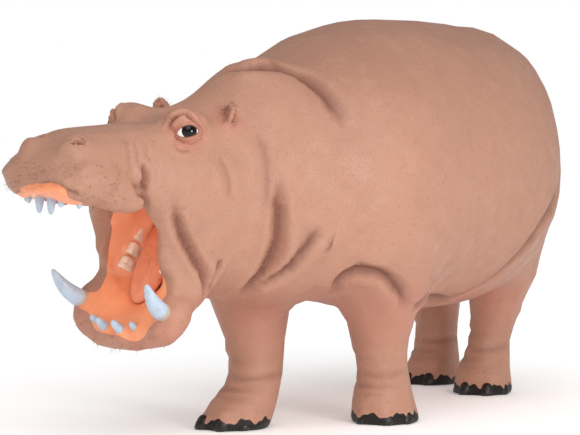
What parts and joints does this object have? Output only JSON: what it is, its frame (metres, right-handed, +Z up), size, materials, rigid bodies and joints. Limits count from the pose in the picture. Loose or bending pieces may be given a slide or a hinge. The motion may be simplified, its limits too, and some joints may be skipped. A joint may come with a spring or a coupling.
{
  "type": "hippopotamus, life-size still model",
  "caption": "Common hippopotamus standing in mid stride, head turned to its right and mouth wide open, as a still museum model.",
  "frame": {"origin": "on the floor, under the middle of the animal's bounding box", "axes": "+Z up, -Y the way the trunk heads, +X the animal's left"},
  "size_m": [1.3194, 3.2192, 1.5895],
  "materials": {
    "skin": "bare moist hide, finely wrinkled",
    "mouth_lining": "wet",
    "eyeball": "wet and glossy",
    "ivory": "worn, smooth",
    "horn": "worn, dull"
  },
  "bodies": {
    "root": {"trunk": "skin", "neck": "skin", "head": "skin", "lower_jaw": "skin", "tail": "skin", "ear_left": "skin", "ear_right": "skin", "foreleg_left": "skin", "foreleg_right": "skin", "hindleg_left": "skin", "hindleg_right": "skin", "tongue": "mouth_lining", "eye_left": "eyeball", "eye_right": "eyeball", "tusk_left": "ivory", "tusk_right": "ivory", "lower_incisor_inner_left": "ivory", "lower_incisor_inner_right": "ivory", "lower_incisor_outer_left": "ivory", "lower_incisor_outer_right": "ivory", "upper_canine_left": "ivory", "upper_canine_right": "ivory", "upper_incisor_inner_left": "ivory", "upper_incisor_inner_right": "ivory", "upper_incisor_outer_left": "ivory", "upper_incisor_outer_right": "ivory", "nail_foreleg_left_1": "horn", "nail_foreleg_left_2": "horn", "nail_foreleg_left_3": "horn", "nail_foreleg_left_4": "horn", "nail_foreleg_right_1": "horn", "nail_foreleg_right_2": "horn", "nail_foreleg_right_3": "horn", "nail_foreleg_right_4": "horn", "nail_hindleg_left_1": "horn", "nail_hindleg_left_2": "horn", "nail_hindleg_left_3": "horn", "nail_hindleg_left_4": "horn", "nail_hindleg_right_1": "horn", "nail_hindleg_right_2": "horn", "nail_hindleg_right_3": "horn", "nail_hindleg_right_4": "horn"}
  },
  "joints": []
}
